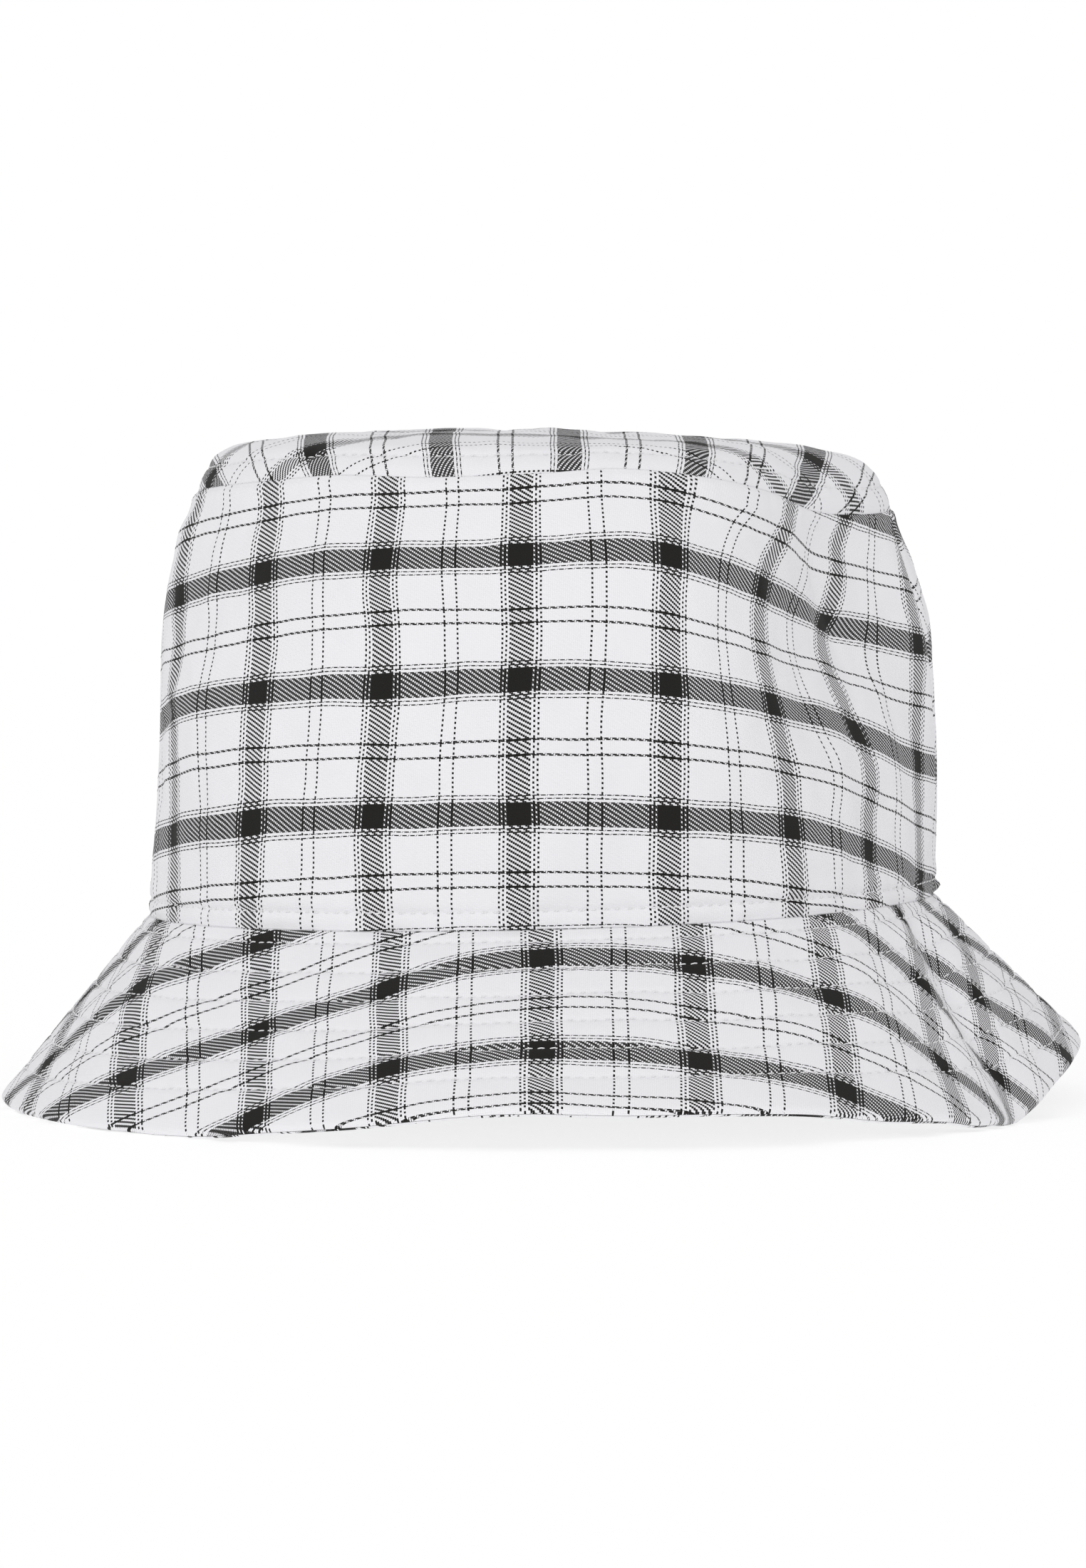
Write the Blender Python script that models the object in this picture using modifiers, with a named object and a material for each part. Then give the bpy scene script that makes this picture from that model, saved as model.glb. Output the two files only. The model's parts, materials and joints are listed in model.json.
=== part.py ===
"""A bucket hat, as the separate pieces of cloth and thread that it is sewn from.

The hat stands on the edge of its brim. +Z is up, its front faces -Y, and the origin is at the middle
of the base of its box. An azimuth is in degrees round the hat: 0 at the front, 90 at +X, 180 at the
back. Run it with: blender --background --python part.py
"""

import math

import bmesh
import bpy
import numpy as np
from mathutils import Vector

MM = 0.001

# Driving dimensions. A head of 57 to 58 cm fits the opening.
BASE_RADIUS = 92 * MM  # the seam between crown and brim, to the outer face of the cloth
BASE_HEIGHT = 45.7 * MM  # that seam above the table
BASE_TILT_ACROSS = 2.3 * MM  # the +X side stands this much higher, and the -X side this much lower
BASE_TILT_ALONG = 0.9 * MM  # the back stands this much higher, and the front this much lower
DOME_HEIGHT = 156.4 * MM  # the highest point of the tip
DOME_FALL = 6.5 * MM  # how far the dome has fallen one base radius from its middle
DOME_CENTRE = Vector((-12 * MM, 0, 0))
MARGIN = 3.5 * MM  # the width in which the tip's edge turns down to its seam

# The seam between crown and tip: (azimuth, height in mm). It sags over the deep dent.
TOP_SEAM = [
    (-150, 143.4), (-120, 142.4), (-90, 142.0), (-50, 144.0), (-35, 145.0), (-18, 144.4),
    (0, 145.3), (12, 146.3), (28, 144.2), (45, 140.8), (60, 137.2), (75, 136.5),
    (92, 137.6), (120, 141.0), (150, 143.0), (180, 143.6),
]  # fmt: skip

# How the wall of the crown leans in, as a share of its radius.
WALL_LEAN = 0.015
SHOULDER_LEAN = 0.097
SHOULDER_FROM = 0.6  # the share of the wall's height where the shoulder starts

# The dents in the soft crown, the deep one at its front right: the middle and the half-width in
# degrees, and the depth in mm at shares of the wall's height.
DENTS = [
    (61, 44, [(0, 3), (0.25, 6.5), (0.5, 11.5), (0.8, 17), (1, 11)]),
    (-48, 40, [(0, 0), (0.5, 1), (0.8, 5), (1, 3)]),
]

# Where the wall stands out of, or inside, a true circle half way up: (azimuth, mm).
WALL_BULGE = [
    (-170, -1), (-130, 1), (-100, -1.6), (-76, -1.6), (-50, 2), (-30, 2.5), (-8, -0.5),
    (12, -0.5), (30, 1), (64, 1), (86, 2.8), (100, 2.4), (135, 2), (165, -0.5),
]  # fmt: skip

# The outer edge of the brim: (azimuth, radius in mm, height in mm).
BRIM_EDGE = [
    (-170, 131.0, 0.9), (-150, 131.5, 3.4), (-128, 131.0, 5.6), (-105, 128.0, 3.6),
    (-90, 126.5, 1.1), (-70, 127.3, 0.9), (-52, 129.2, 0.9), (-35, 131.0, 1.6),
    (-18, 132.8, 5.4), (-4, 134.4, 8.6), (12, 134.4, 8.2), (30, 133.0, 6.4),
    (42, 131.0, 3.6), (51, 129.3, 1.2), (58, 128.2, 2.6), (68, 126.8, 8.8),
    (80, 125.8, 12.2), (98, 127.0, 14.2), (120, 131.0, 12.0), (142, 133.0, 5.4), (164, 131.0, 1.3),
]  # fmt: skip

# Cloth: each layer's depth of its outer face under the hat's outer face, and its thickness.
OUTER_CLOTH = 0.7 * MM
LAYER_GAP = 0.3 * MM
INTERLINING = 0.6 * MM
LINING = 0.4 * MM
SWEATBAND = 0.8 * MM
SECOND_LAYER = OUTER_CLOTH + LAYER_GAP
UNDER_BRIM_DEPTH = SECOND_LAYER + INTERLINING + LAYER_GAP
SWEATBAND_DEPTH = SECOND_LAYER + LINING + LAYER_GAP
LABEL_DEPTH = SWEATBAND_DEPTH + SWEATBAND + LAYER_GAP
LABEL = 0.4 * MM

WALL_HEIGHT = 100 * MM  # about, for the gaps at its seams
SEAM_GAP = 0.4 * MM  # between two pieces that a seam joins edge to edge
SWEATBAND_WIDTH = 32 * MM
INTERLINING_MARGIN = 2.5 * MM  # how far it stops short of the brim's edge
WOVEN_LABEL_WIDTH_DEGREES = 26
WOVEN_LABEL_ROWS = (0.07, 0.25)  # as shares of the wall's height
CARE_LABEL_WIDTH = 18 * MM
CARE_LABEL_LENGTH = 26 * MM
CARE_LABEL_AZIMUTH = -156
CARE_LABEL_CLEARANCE = 1.1 * MM  # a flat label in front of a curved band

# Topstitching, as distances along the cloth from the seam.
THREAD = 0.5 * MM
BRIM_ROWS = 6
BRIM_FIRST_ROW = 3.5 * MM
BRIM_ROW_PITCH = 8.4 * MM
TIP_ROW = 6 * MM
BASE_ROW = 4 * MM

# The grid of the panels.
HALF_STEPS = 24  # round half the hat
RING_STEPS = 2 * HALF_STEPS
WALL_ROWS = (0, 0.3, 0.58, 0.78, 0.9, 1)
TIP_ROWS = (0, 0.03, 0.08, 0.3, 0.65, 1)
BRIM_STEPS = 3

WHITE_CHECK = (0.80, 0.80, 0.82, 1)
WHITE_COTTON = (0.84, 0.84, 0.85, 1)
FELT = (0.70, 0.70, 0.68, 1)
SATIN = (0.88, 0.88, 0.88, 1)
THREAD_WHITE = (0.90, 0.90, 0.90, 1)


# ---- the shape ---------------------------------------------------------------------------------


def hermite(a, b, share, step, slope_a, slope_b):
    """A cubic from a to b over step, with those slopes at its ends."""
    u, u2, u3 = share, share**2, share**3
    return (
        (2 * u3 - 3 * u2 + 1) * a
        + (u3 - 2 * u2 + u) * step * slope_a
        + (3 * u2 - 2 * u3) * b
        + (u3 - u2) * step * slope_b
    )


def through(points, x):
    """A smooth curve through (x, value) points."""
    i = max(0, min(len(points) - 2, sum(p[0] <= x for p in points) - 1))
    last = len(points) - 1

    def slope(j):
        left, right = points[max(0, j - 1)], points[min(last, j + 1)]
        return (right[1] - left[1]) / (right[0] - left[0])

    (xa, a), (xb, b) = points[i], points[i + 1]
    return hermite(a, b, (x - xa) / (xb - xa), xb - xa, slope(i), slope(i + 1))


def round_the_hat(points, azimuth):
    """The same for (azimuth, value) points that close round the hat."""
    azimuth = (azimuth + 180) % 360 - 180
    before = [(a - 360, v) for a, v in points[-2:]]
    after = [(a + 360, v) for a, v in points[:2]]
    return through(before + points + after, azimuth)


def bump(azimuth, middle, half_width):
    """1 at the middle, falling smoothly to 0 half a width away."""
    away = abs((azimuth - middle + 180) % 360 - 180) / half_width
    return math.cos(away * math.pi / 2) ** 2 if away < 1 else 0.0


def polar(azimuth, radius, height):
    turn = math.radians(azimuth)
    return Vector((radius * math.sin(turn), -radius * math.cos(turn), height))


def base_height(azimuth):
    turn = math.radians(azimuth)
    return BASE_HEIGHT + BASE_TILT_ACROSS * math.sin(turn) - BASE_TILT_ALONG * math.cos(turn)


def wall(azimuth, t):
    """The crown's side: t is 0 at the brim's seam and 1 at the tip's."""
    shoulder = max(0.0, (t - SHOULDER_FROM) / (1 - SHOULDER_FROM))
    lean = WALL_LEAN * t + SHOULDER_LEAN * shoulder**2
    bulge = round_the_hat(WALL_BULGE, azimuth) * MM * math.sin(math.pi * min(t, 0.9) / 1.1)
    dent = sum(bump(azimuth, middle, reach) * through(depth, t) for middle, reach, depth in DENTS) * MM
    low, high = base_height(azimuth), round_the_hat(TOP_SEAM, azimuth) * MM
    return polar(azimuth, BASE_RADIUS * (1 - lean) + bulge - dent, low + (high - low) * t)


def tip(azimuth, q):
    """The crown's top: q is 0 at its seam and 1 at the hat's axis."""
    edge = wall(azimuth, 1)
    point = Vector((edge.x * (1 - q), edge.y * (1 - q), 0))
    inward = q * math.hypot(edge.x, edge.y)
    out = (point - DOME_CENTRE).length / BASE_RADIUS
    dome = DOME_HEIGHT - DOME_FALL * out**2
    point.z = edge.z + (dome - edge.z) * (1 - math.exp(-inward / MARGIN))
    return point


def brim(azimuth, s):
    """The brim: s is 0 at the crown's seam and 1 at its outer edge."""
    radius = round_the_hat([(a, r) for a, r, _ in BRIM_EDGE], azimuth) * MM
    height = round_the_hat([(a, h) for a, _, h in BRIM_EDGE], azimuth) * MM
    return wall(azimuth, 0).lerp(polar(azimuth, radius, height), s)


def normal(surface, azimuth, row):
    """The surface's normal, out of the hat."""
    step = 0.002
    low, high = max(0, row - step), min(1, row + step)
    if surface is tip and high == 1:
        return Vector((0, 0, 1))
    along = surface(azimuth, high) - surface(azimuth, low)
    if surface is brim:
        along.negate()
    across = surface(azimuth + 0.5, row) - surface(azimuth - 0.5, row)
    return across.cross(along).normalized()


def under(surface, azimuth, row, depth):
    """The point this deep under the hat's outer face."""
    return surface(azimuth, row) - normal(surface, azimuth, row) * depth


def length_along(surface, azimuth):
    return sum(
        (surface(azimuth, (i + 1) / 20) - surface(azimuth, i / 20)).length for i in range(20)
    )


def row_at(surface, azimuth, distance):
    """The row that lies this far along the cloth from its seam."""
    steps = 200
    gone = 0.0
    for i in range(steps):
        piece = (surface(azimuth, (i + 1) / steps) - surface(azimuth, i / steps)).length
        if gone + piece >= distance:
            return (i + (distance - gone) / piece) / steps
        gone += piece
    return 1.0


# ---- making pieces -----------------------------------------------------------------------------


def clear_scene():
    for obj in list(bpy.data.objects):
        bpy.data.objects.remove(obj)


def plain_material(name, colour, roughness):
    material = bpy.data.materials.new(name)
    material.use_nodes = True
    shader = material.node_tree.nodes["Principled BSDF"]
    shader.inputs["Base Color"].default_value = colour
    shader.inputs["Roughness"].default_value = roughness
    shader.inputs["Metallic"].default_value = 0
    return material


def add_object(name, data, material, collection):
    data.materials.append(material)
    obj = bpy.data.objects.new(name, data)
    collection.objects.link(obj)
    return obj


def thicken(obj, thickness):
    """Solidify, into the hat from the face that the mesh was laid on."""
    solid = obj.modifiers.new("cloth", "SOLIDIFY")
    solid.thickness = thickness
    solid.offset = -1


def sheet(name, surface, azimuths, rows, depth, thickness, material, collection, closed=False):
    """A piece of cloth: a grid laid on a surface at a depth, then thickened inwards.

    rows holds rows of the surface, or functions of the azimuth that give them.
    """
    columns, lines = len(azimuths) - 1, len(rows) - 1
    grid = bmesh.new()
    bmesh.ops.create_grid(grid, x_segments=columns, y_segments=lines, size=1)
    for vertex in grid.verts:
        azimuth = azimuths[round((vertex.co.x + 1) / 2 * columns)]
        row = rows[round((vertex.co.y + 1) / 2 * lines)]
        row = row(azimuth) if callable(row) else row
        vertex.co = under(surface, azimuth, row, depth)
    if closed:
        bmesh.ops.remove_doubles(grid, verts=grid.verts, dist=0.01 * MM)
    if surface is brim:
        bmesh.ops.reverse_faces(grid, faces=grid.faces)
    mesh = bpy.data.meshes.new(name)
    grid.to_mesh(mesh)
    grid.free()
    mesh.shade_smooth()
    obj = add_object(name, mesh, material, collection)
    thicken(obj, thickness)
    return obj


def thread_ring(name, surface, distance, material, collection):
    """One row of topstitching, as a ring of thread on the outer face."""
    curve = bpy.data.curves.new(name, "CURVE")
    curve.dimensions = "3D"
    curve.bevel_depth = THREAD / 2
    curve.bevel_resolution = 0
    ring = curve.splines.new("POLY")
    ring.points.add(RING_STEPS - 1)
    ring.use_cyclic_u = True
    for i, point in enumerate(ring.points):
        azimuth = -180 + 360 * i / RING_STEPS
        row = row_at(surface, azimuth, distance)
        point.co = (*under(surface, azimuth, row, -LAYER_GAP - THREAD / 2), 1)
    return add_object(name, curve, material, collection)


def trim_at_table(obj, cutters):
    """Cuts a brim cloth flat where it lies on the table."""
    slab = bpy.data.objects.get("table_cutter")
    if slab is None:
        bpy.ops.mesh.primitive_cube_add(size=1, location=(0, 0, -0.05))
        slab = bpy.context.object
        slab.name = "table_cutter"
        slab.scale = (0.5, 0.5, 0.1)
        slab.hide_render = True
        slab.display_type = "WIRE"
        for holder in list(slab.users_collection):
            holder.objects.unlink(slab)
        cutters.objects.link(slab)
    cut = obj.modifiers.new("table", "BOOLEAN")
    cut.operation = "DIFFERENCE"
    cut.object = slab


def half(middle):
    """The azimuths of a half panel, which stops short of the side seams at 90 and -90."""
    reach = 90 - math.degrees(SEAM_GAP / 2 / BASE_RADIUS)
    return [middle + a for a in np.linspace(-reach, reach, HALF_STEPS + 1)]


def whole():
    return [float(a) for a in np.linspace(-180, 180, RING_STEPS + 1)]


# ---- the hat's pieces --------------------------------------------------------------------------


def inside_seams(rows, length):
    """Rows that keep half a seam gap from both ends of a surface of this length."""
    end = SEAM_GAP / 2 / length
    return [min(max(row, end), 1 - end) for row in rows]


def make_crown(cloth, collection):
    rows = inside_seams(WALL_ROWS, WALL_HEIGHT)
    for side, middle in (("front", 0), ("back", 180)):
        sheet(f"crown_{side}", wall, half(middle), rows, 0, OUTER_CLOTH, cloth, collection)
    rows = [max(row, SEAM_GAP / 2 / BASE_RADIUS) for row in TIP_ROWS]
    sheet("crown_tip", tip, whole(), rows, 0, OUTER_CLOTH, cloth, collection, closed=True)


def make_lining(cotton, collection):
    rows = inside_seams(WALL_ROWS, WALL_HEIGHT)
    for side, middle in (("front", 0), ("back", 180)):
        name = f"lining_{side}"
        sheet(name, wall, half(middle), rows, SECOND_LAYER, LINING, cotton, collection)
    rows = [max(row, SEAM_GAP / BASE_RADIUS) for row in TIP_ROWS]
    sheet("lining_tip", tip, whole(), rows, SECOND_LAYER, LINING, cotton, collection, closed=True)


def make_brim(cloth, felt, collection, cutters):
    slant = length_along(brim, 0)
    rows = inside_seams(np.linspace(0, 1, BRIM_STEPS + 1), slant)
    rows[-1] = 1
    short = [*rows[:-1], 1 - INTERLINING_MARGIN / slant]
    for side, middle in (("front", 0), ("back", 180)):
        across = half(middle)
        top = (f"brim_top_{side}", rows, 0, OUTER_CLOTH, cloth)
        stiffener = (f"brim_interlining_{side}", short, SECOND_LAYER, INTERLINING, felt)
        below = (f"brim_under_{side}", rows, UNDER_BRIM_DEPTH, OUTER_CLOTH, cloth)
        for name, lines, depth, thickness, material in (top, stiffener, below):
            piece = sheet(name, brim, across, lines, depth, thickness, material, collection)
            if name.startswith("brim_under"):
                trim_at_table(piece, cutters)


def make_sweatband(cotton, collection):
    low = SEAM_GAP / 2 / (WALL_HEIGHT)
    rows = [low, lambda azimuth: row_at(wall, azimuth, SWEATBAND_WIDTH)]
    args = (rows, SWEATBAND_DEPTH, SWEATBAND, cotton, collection)
    sheet("sweatband", wall, whole(), *args, closed=True)


def make_labels(satin, collection):
    reach = WOVEN_LABEL_WIDTH_DEGREES / 2
    across = [180 + a for a in np.linspace(-reach, reach, 5)]
    sheet("woven_label", wall, across, WOVEN_LABEL_ROWS, LABEL_DEPTH, LABEL, satin, collection)

    # The care label hangs from the top edge of the sweatband, on its own hinge line.
    t = row_at(wall, CARE_LABEL_AZIMUTH, SWEATBAND_WIDTH)
    line = under(wall, CARE_LABEL_AZIMUTH, t, LABEL_DEPTH + CARE_LABEL_CLEARANCE)
    hinge = bpy.data.objects.new("care_label_hinge", None)
    hinge.location = line
    hinge.rotation_euler.z = math.radians(CARE_LABEL_AZIMUTH)
    collection.objects.link(hinge)
    bpy.ops.mesh.primitive_cube_add(size=1)
    label = bpy.context.object
    label.name = label.data.name = "care_label"
    label.data.materials.append(satin)
    for holder in list(label.users_collection):
        holder.objects.unlink(label)
    collection.objects.link(label)
    stretch = (CARE_LABEL_WIDTH, LABEL, CARE_LABEL_LENGTH)
    for vertex in label.data.vertices:
        vertex.co = [c * size for c, size in zip(vertex.co, stretch)]
    label.parent = hinge
    label.location.z = -CARE_LABEL_LENGTH / 2


def make_topstitching(thread, collection):
    thread_ring("topstitch_tip", tip, TIP_ROW, thread, collection)
    thread_ring("topstitch_crown_base", wall, BASE_ROW, thread, collection)
    for i in range(BRIM_ROWS):
        distance = BRIM_FIRST_ROW + i * BRIM_ROW_PITCH
        thread_ring(f"topstitch_brim_{i + 1}", brim, distance, thread, collection)


def centre_on_box(collection):
    """Moves the whole hat so that the middle of its box is over the origin."""
    edge = [brim(azimuth, 1) for azimuth in whole()]
    middle = Vector((0, 0, 0))
    for axis in (0, 1):
        values = [point[axis] for point in edge]
        middle[axis] = (max(values) + min(values)) / 2
    for obj in collection.objects:
        if obj.parent is None:
            obj.location -= middle


def main():
    clear_scene()
    hat = bpy.data.collections.new("bucket_hat")
    cutters = bpy.data.collections.new("cutters")
    for collection in (hat, cutters):
        bpy.context.scene.collection.children.link(collection)
    check = plain_material("check_cloth", WHITE_CHECK, 0.9)
    cotton = plain_material("lining_cotton", WHITE_COTTON, 0.85)
    felt = plain_material("interlining", FELT, 0.95)
    satin = plain_material("label_satin", SATIN, 0.5)
    thread = plain_material("thread", THREAD_WHITE, 0.6)
    make_crown(check, hat)
    make_lining(cotton, hat)
    make_brim(check, felt, hat, cutters)
    make_sweatband(cotton, hat)
    make_labels(satin, hat)
    make_topstitching(thread, hat)
    centre_on_box(hat)


main()
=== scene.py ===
"""The looks of a bucket hat in black and white checked cotton twill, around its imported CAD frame.

Lengths in the shape are in metres, and a name ending in _MM is in millimetres. An azimuth is in
degrees round the hat: 0 at the front, 90 at +X, 180 at the back.
"""

import json
import math

import bpy
import numpy as np
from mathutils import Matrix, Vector


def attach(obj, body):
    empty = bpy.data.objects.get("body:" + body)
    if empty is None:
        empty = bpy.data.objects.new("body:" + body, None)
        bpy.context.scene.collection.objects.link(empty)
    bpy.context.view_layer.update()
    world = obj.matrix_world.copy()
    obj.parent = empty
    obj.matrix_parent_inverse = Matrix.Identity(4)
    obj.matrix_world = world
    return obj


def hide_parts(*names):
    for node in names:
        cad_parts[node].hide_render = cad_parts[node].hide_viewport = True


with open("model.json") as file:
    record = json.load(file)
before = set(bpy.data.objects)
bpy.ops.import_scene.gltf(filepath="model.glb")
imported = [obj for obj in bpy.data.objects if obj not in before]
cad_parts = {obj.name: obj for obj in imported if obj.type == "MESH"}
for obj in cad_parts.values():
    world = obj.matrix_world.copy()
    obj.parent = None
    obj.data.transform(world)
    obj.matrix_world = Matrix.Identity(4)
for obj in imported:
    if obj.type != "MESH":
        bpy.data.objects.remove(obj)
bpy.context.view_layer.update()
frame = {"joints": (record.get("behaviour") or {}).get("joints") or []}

MM = 0.001

# ---- the hat's shape, as the CAD has it ----------------------------------------------------------

BASE_RADIUS = 92 * MM
BASE_HEIGHT = 45.7 * MM
BASE_TILT_ACROSS = 2.3 * MM
BASE_TILT_ALONG = 0.9 * MM
DOME_HEIGHT = 156.4 * MM
DOME_FALL = 6.5 * MM
DOME_CENTRE_X = -12 * MM
MARGIN = 3.5 * MM
TOP_SEAM = [
    (-150, 143.4), (-120, 142.4), (-90, 142.0), (-50, 144.0), (-35, 145.0), (-18, 144.4),
    (0, 145.3), (12, 146.3), (28, 144.2), (45, 140.8), (60, 137.2), (75, 136.5),
    (92, 137.6), (120, 141.0), (150, 143.0), (180, 143.6),
]
WALL_LEAN = 0.015
SHOULDER_LEAN = 0.097
SHOULDER_FROM = 0.6
DENTS = [
    (61, 44, [(0, 3), (0.25, 6.5), (0.5, 11.5), (0.8, 17), (1, 11)]),
    (-48, 40, [(0, 0), (0.5, 1), (0.8, 5), (1, 3)]),
]
WALL_BULGE = [
    (-170, -1), (-130, 1), (-100, -1.6), (-76, -1.6), (-50, 2), (-30, 2.5), (-8, -0.5),
    (12, -0.5), (30, 1), (64, 1), (86, 2.8), (100, 2.4), (135, 2), (165, -0.5),
]
BRIM_EDGE = [
    (-170, 131.0, 0.9), (-150, 131.5, 3.4), (-128, 131.0, 5.6), (-105, 128.0, 3.6),
    (-90, 126.5, 1.1), (-70, 127.3, 0.9), (-52, 129.2, 0.9), (-35, 131.0, 1.6),
    (-18, 132.8, 5.4), (-4, 134.4, 8.6), (12, 134.4, 8.2), (30, 133.0, 6.4),
    (42, 131.0, 3.6), (51, 129.3, 1.2), (58, 128.2, 2.6), (68, 126.8, 8.8),
    (80, 125.8, 12.2), (98, 127.0, 14.2), (120, 131.0, 12.0), (142, 133.0, 5.4), (164, 131.0, 1.3),
]
OUTER_CLOTH_MM = 0.7
INTERLINING_MM = (1.0, 1.6)  # its two faces, as depths under the hat's outer face
UNDER_BRIM_MM = (1.9, 2.6)
LINING_MM = (1.0, 1.4)
SWEATBAND_MM = (1.7, 2.5)
WOVEN_LABEL_MM = (2.8, 3.2)
CAD_RING = 48  # the CAD's steps round the hat, which centre it on its box

WALL_MM = 100  # about the wall's height along the cloth
TIP_ROW_MM = 6  # the rows of stitches, from their seams
BASE_ROW_MM = 4
BRIM_ROWS_MM = [3.5 + 8.4 * i for i in range(6)]
BAND_ROWS_MM = (3.0, 29.4)

# About how long one degree round the hat is.
WALL_TURN_MM = 1.6
TIP_TURN_MM = 1.5
BRIM_TURN_MM = 1.9


def through(points, x):
    """A smooth curve through (x, value) points, with any other values beside them."""
    x = np.asarray(x, float)
    knots = np.array([p[0] for p in points], float)
    values = np.array([p[1] for p in points], float)
    i = np.clip(np.searchsorted(knots, x, side="right") - 1, 0, len(knots) - 2)
    slope = np.empty_like(values)
    slope[1:-1] = (values[2:] - values[:-2]) / (knots[2:] - knots[:-2])
    slope[0] = (values[1] - values[0]) / (knots[1] - knots[0])
    slope[-1] = (values[-1] - values[-2]) / (knots[-1] - knots[-2])
    step = knots[i + 1] - knots[i]
    u = (x - knots[i]) / step
    return (
        (2 * u**3 - 3 * u**2 + 1) * values[i]
        + (u**3 - 2 * u**2 + u) * step * slope[i]
        + (3 * u**2 - 2 * u**3) * values[i + 1]
        + (u**3 - u**2) * step * slope[i + 1]
    )


def round_the_hat(points, azimuth):
    azimuth = (np.asarray(azimuth, float) + 180) % 360 - 180
    before = [(a - 360, v) for a, v in points[-2:]]
    after = [(a + 360, v) for a, v in points[:2]]
    return through(before + points + after, azimuth)


def off(azimuth, middle):
    """The angle from middle to azimuth, from -180 to 180."""
    return (np.asarray(azimuth, float) - middle + 180) % 360 - 180


def bump(azimuth, middle, half_width):
    away = np.abs(off(azimuth, middle)) / half_width
    return np.where(away < 1, np.cos(np.minimum(away, 1) * math.pi / 2) ** 2, 0)


def polar(azimuth, radius, height):
    turn = np.radians(azimuth)
    x, y, z = np.broadcast_arrays(radius * np.sin(turn), -radius * np.cos(turn), height)
    return np.stack([x, y, z], -1)


def base_height(azimuth):
    turn = np.radians(azimuth)
    return BASE_HEIGHT + BASE_TILT_ACROSS * np.sin(turn) - BASE_TILT_ALONG * np.cos(turn)


def wall(azimuth, t):
    shoulder = np.maximum(0, (t - SHOULDER_FROM) / (1 - SHOULDER_FROM))
    lean = WALL_LEAN * t + SHOULDER_LEAN * shoulder**2
    bulge = round_the_hat(WALL_BULGE, azimuth) * np.sin(math.pi * np.minimum(t, 0.9) / 1.1)
    dent = sum(bump(azimuth, middle, reach) * through(depth, t) for middle, reach, depth in DENTS)
    low, high = base_height(azimuth), round_the_hat(TOP_SEAM, azimuth) * MM
    radius = BASE_RADIUS * (1 - lean) + (bulge - dent) * MM
    return polar(azimuth, radius, low + (high - low) * t)


def tip(azimuth, q):
    edge = wall(azimuth, np.ones_like(q))
    x, y = edge[..., 0] * (1 - q), edge[..., 1] * (1 - q)
    inward = q * np.hypot(edge[..., 0], edge[..., 1])
    out = np.hypot(x - DOME_CENTRE_X, y) / BASE_RADIUS
    dome = DOME_HEIGHT - DOME_FALL * out**2
    z = edge[..., 2] + (dome - edge[..., 2]) * (1 - np.exp(-inward / MARGIN))
    return np.stack([x, y, z], -1)


def brim(azimuth, s):
    radius = round_the_hat([(a, r) for a, r, _ in BRIM_EDGE], azimuth) * MM
    height = round_the_hat([(a, h) for a, _, h in BRIM_EDGE], azimuth) * MM
    inner = wall(azimuth, np.zeros_like(s))
    return inner + (polar(azimuth, radius, height) - inner) * s[..., None]


def both(azimuth, row):
    return np.broadcast_arrays(np.asarray(azimuth, float), np.asarray(row, float))


def centre():
    """The middle of the brim's box, which the CAD puts over the origin."""
    edge = brim(*both(np.linspace(-180, 180, CAD_RING + 1), 1.0))
    middle = (edge.max(0) + edge.min(0)) / 2
    middle[2] = 0
    return middle


MIDDLE = centre()


def laid(surface, azimuth, row):
    """The surface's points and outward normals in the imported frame."""
    azimuth, row = both(azimuth, row)
    step = 0.002
    low, high = np.maximum(row - step, 0), np.minimum(row + step, 1)
    if surface is tip:
        high = np.minimum(high, 0.995)
        low = np.minimum(low, 0.99)
    along = surface(azimuth, high) - surface(azimuth, low)
    here = np.minimum(row, 0.99) if surface is tip else row
    across = surface(azimuth + 0.3, here) - surface(azimuth - 0.3, here)
    normal = np.cross(across, along)
    if surface is brim:
        normal = -normal
    normal /= np.linalg.norm(normal, axis=-1, keepdims=True)
    return surface(azimuth, row) - MIDDLE, normal


def rows_along(surface, azimuth, distance_mm):
    """The row that lies each distance along the cloth from its seam, on each azimuth."""
    share = np.linspace(0, 1, 241)
    line = surface(*both(np.asarray(azimuth, float)[None, :], share[:, None]))
    gone = np.zeros(line.shape[:2])
    gone[1:] = np.cumsum(np.linalg.norm(np.diff(line, axis=0), axis=-1), axis=0)
    distance = np.broadcast_to(distance_mm, (np.shape(distance_mm)[0], len(azimuth))) * MM
    return np.stack([np.interp(distance[:, k], gone[:, k], share) for k in range(len(azimuth))], 1)


def length_mm(surface, azimuth):
    share = np.linspace(0, 1, 41)
    line = surface(*both(np.asarray(azimuth, float)[None, :], share[:, None]))
    return np.linalg.norm(np.diff(line, axis=0), axis=-1).sum(0) / MM


# ---- relief: how far the sewn cloth stands out of that shape -------------------------------------


def ripples(seed, wavelength, count=18):
    """A smooth seeded noise of about -1 to 1 over two lengths in mm."""
    dice = np.random.RandomState(seed)
    turns = dice.uniform(0, math.tau, count)
    scales = math.tau / (wavelength * dice.uniform(0.7, 1.6, count))
    phases = dice.uniform(0, math.tau, count)

    def at(x, y):
        total = 0
        for turn, scale, phase in zip(turns, scales, phases, strict=True):
            total = total + np.sin(scale * (x * math.cos(turn) + y * math.sin(turn)) + phase)
        return total / math.sqrt(count)

    return at


def hill(x, middle, width):
    return np.exp(-(((x - middle) / width) ** 2))


def step_up(x, start, end):
    u = np.clip((x - start) / (end - start), 0, 1)
    return u * u * (3 - 2 * u)


BIG = ripples(11, 34)
SMALL = ripples(12, 11)
PUCKER = ripples(13, 4.5)


def seam_side(azimuth):
    """The distance in mm, at the crown, from the nearer side seam."""
    return np.radians(np.abs(np.abs(off(azimuth, 0)) - 90)) * BASE_RADIUS / MM


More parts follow.
